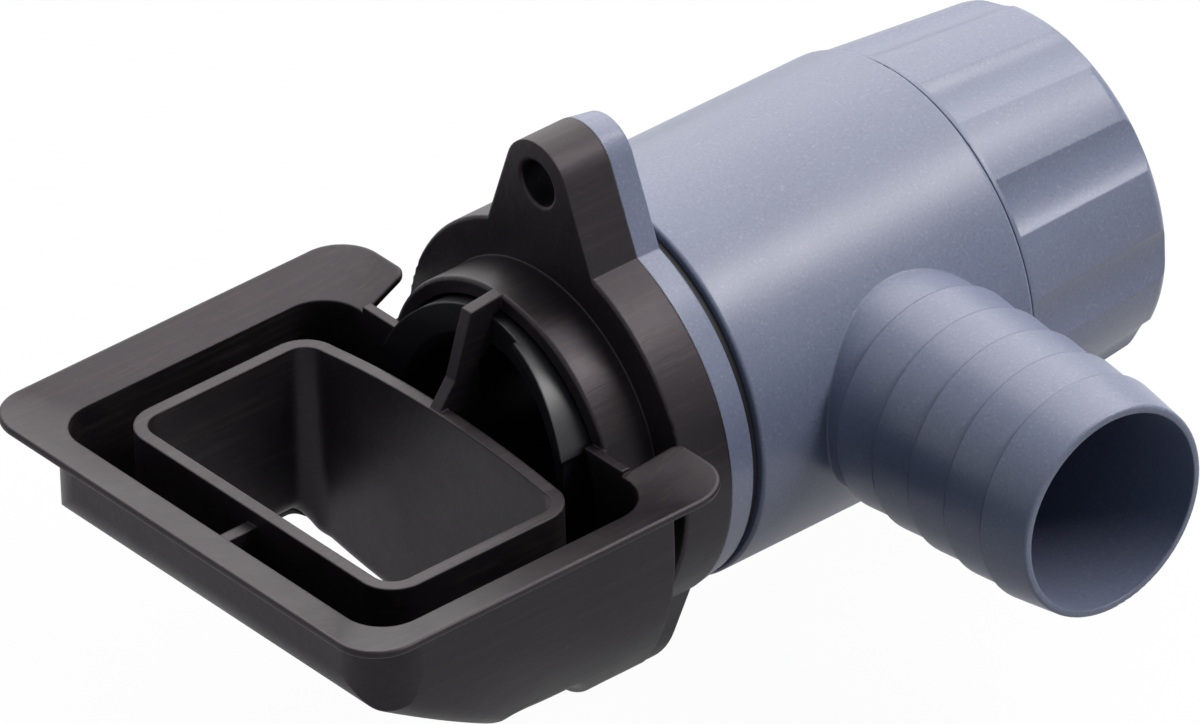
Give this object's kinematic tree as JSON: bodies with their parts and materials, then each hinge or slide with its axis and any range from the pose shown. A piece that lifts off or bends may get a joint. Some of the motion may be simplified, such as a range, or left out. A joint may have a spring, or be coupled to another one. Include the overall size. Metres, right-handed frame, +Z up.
{
  "type": "rainwater diverter",
  "caption": "Downpipe rainwater diverter: black rubber collecting tray with overflow, grey tee body with a barbed hose tail and a fluted shut-off knob.",
  "frame": {"origin": "on the main axis, on the gasket flange's face that lies against the downpipe", "axes": "+X along the main axis from the downpipe to the knob, +Z up through the screw lug, hose tail to -Y"},
  "size_m": [0.1597, 0.114, 0.0879],
  "materials": {
    "black_rubber": "satin",
    "black_plastic": "satin",
    "grey_plastic": "satin",
    "seal_rubber": "matte"
  },
  "bodies": {
    "mount": {"collector": "black_rubber", "inlet_bush": "black_plastic", "flange_plate": "grey_plastic", "swivel_seal": "seal_rubber", "swivel_o_ring": "seal_rubber"},
    "outlet": {"body": "grey_plastic"},
    "selector": {"valve_barrel": "grey_plastic", "shutoff_seal": "seal_rubber", "barrel_o_ring": "seal_rubber", "stem_o_ring": "seal_rubber", "knob": "grey_plastic"}
  },
  "joints": [
    {"name": "outlet_swivel", "type": "hinge", "parent": "mount", "child": "outlet", "pos_m": [0.0143, 0, 0], "axis": [1, 0, 0], "continuous": true},
    {"name": "knob_turn", "type": "hinge", "parent": "outlet", "child": "selector", "pos_m": [0.0644, 0, 0], "axis": [1, 0, 0], "range_deg": [0, 90]}
  ]
}
